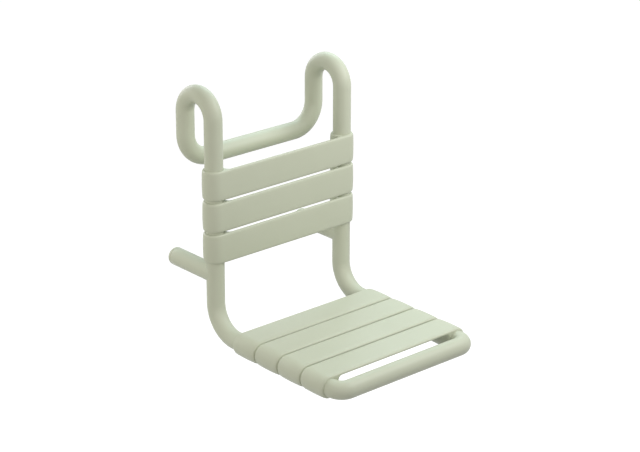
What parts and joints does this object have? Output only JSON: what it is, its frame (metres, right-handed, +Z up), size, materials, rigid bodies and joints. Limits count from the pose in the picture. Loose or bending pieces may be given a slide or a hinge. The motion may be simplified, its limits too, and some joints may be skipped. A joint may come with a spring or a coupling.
{
  "type": "hook-on shower seat",
  "caption": "Shower seat and backrest of plastic slats on a bent tube frame, which hangs on a wall rail by two hooks and leans on the wall with two stubs.",
  "frame": {"origin": "the middle of the wall rail's axis, where the two hooks hang on it, midway between the hooks", "axes": "+Z up, +Y to the wall, -Y the way a seated person faces, X across the seat"},
  "size_m": [0.3416, 0.4698, 0.4721],
  "materials": {
    "sage_plastic": "satin through-coloured polyamide with a very fine grain",
    "galvanised_steel": "dull galvanised, sealed inside the plastic",
    "stainless_steel": "bright turned stainless"
  },
  "bodies": {
    "root": {"upper_tube": "sage_plastic", "left_side_tube": "sage_plastic", "right_side_tube": "sage_plastic", "front_tube": "sage_plastic", "back_slat_1": "sage_plastic", "back_slat_2": "sage_plastic", "back_slat_3": "sage_plastic", "seat_slat_1": "sage_plastic", "seat_slat_2": "sage_plastic", "seat_slat_3": "sage_plastic", "seat_slat_4": "sage_plastic", "left_stub": "sage_plastic", "right_stub": "sage_plastic", "left_wall_pad": "sage_plastic", "right_wall_pad": "sage_plastic", "upper_core": "galvanised_steel", "left_side_core": "galvanised_steel", "right_side_core": "galvanised_steel", "front_core": "galvanised_steel", "left_upper_spigot": "galvanised_steel", "right_upper_spigot": "galvanised_steel", "left_front_spigot": "galvanised_steel", "right_front_spigot": "galvanised_steel", "left_anchor": "galvanised_steel", "right_anchor": "galvanised_steel", "left_stub_screw": "stainless_steel", "right_stub_screw": "stainless_steel"}
  },
  "joints": []
}
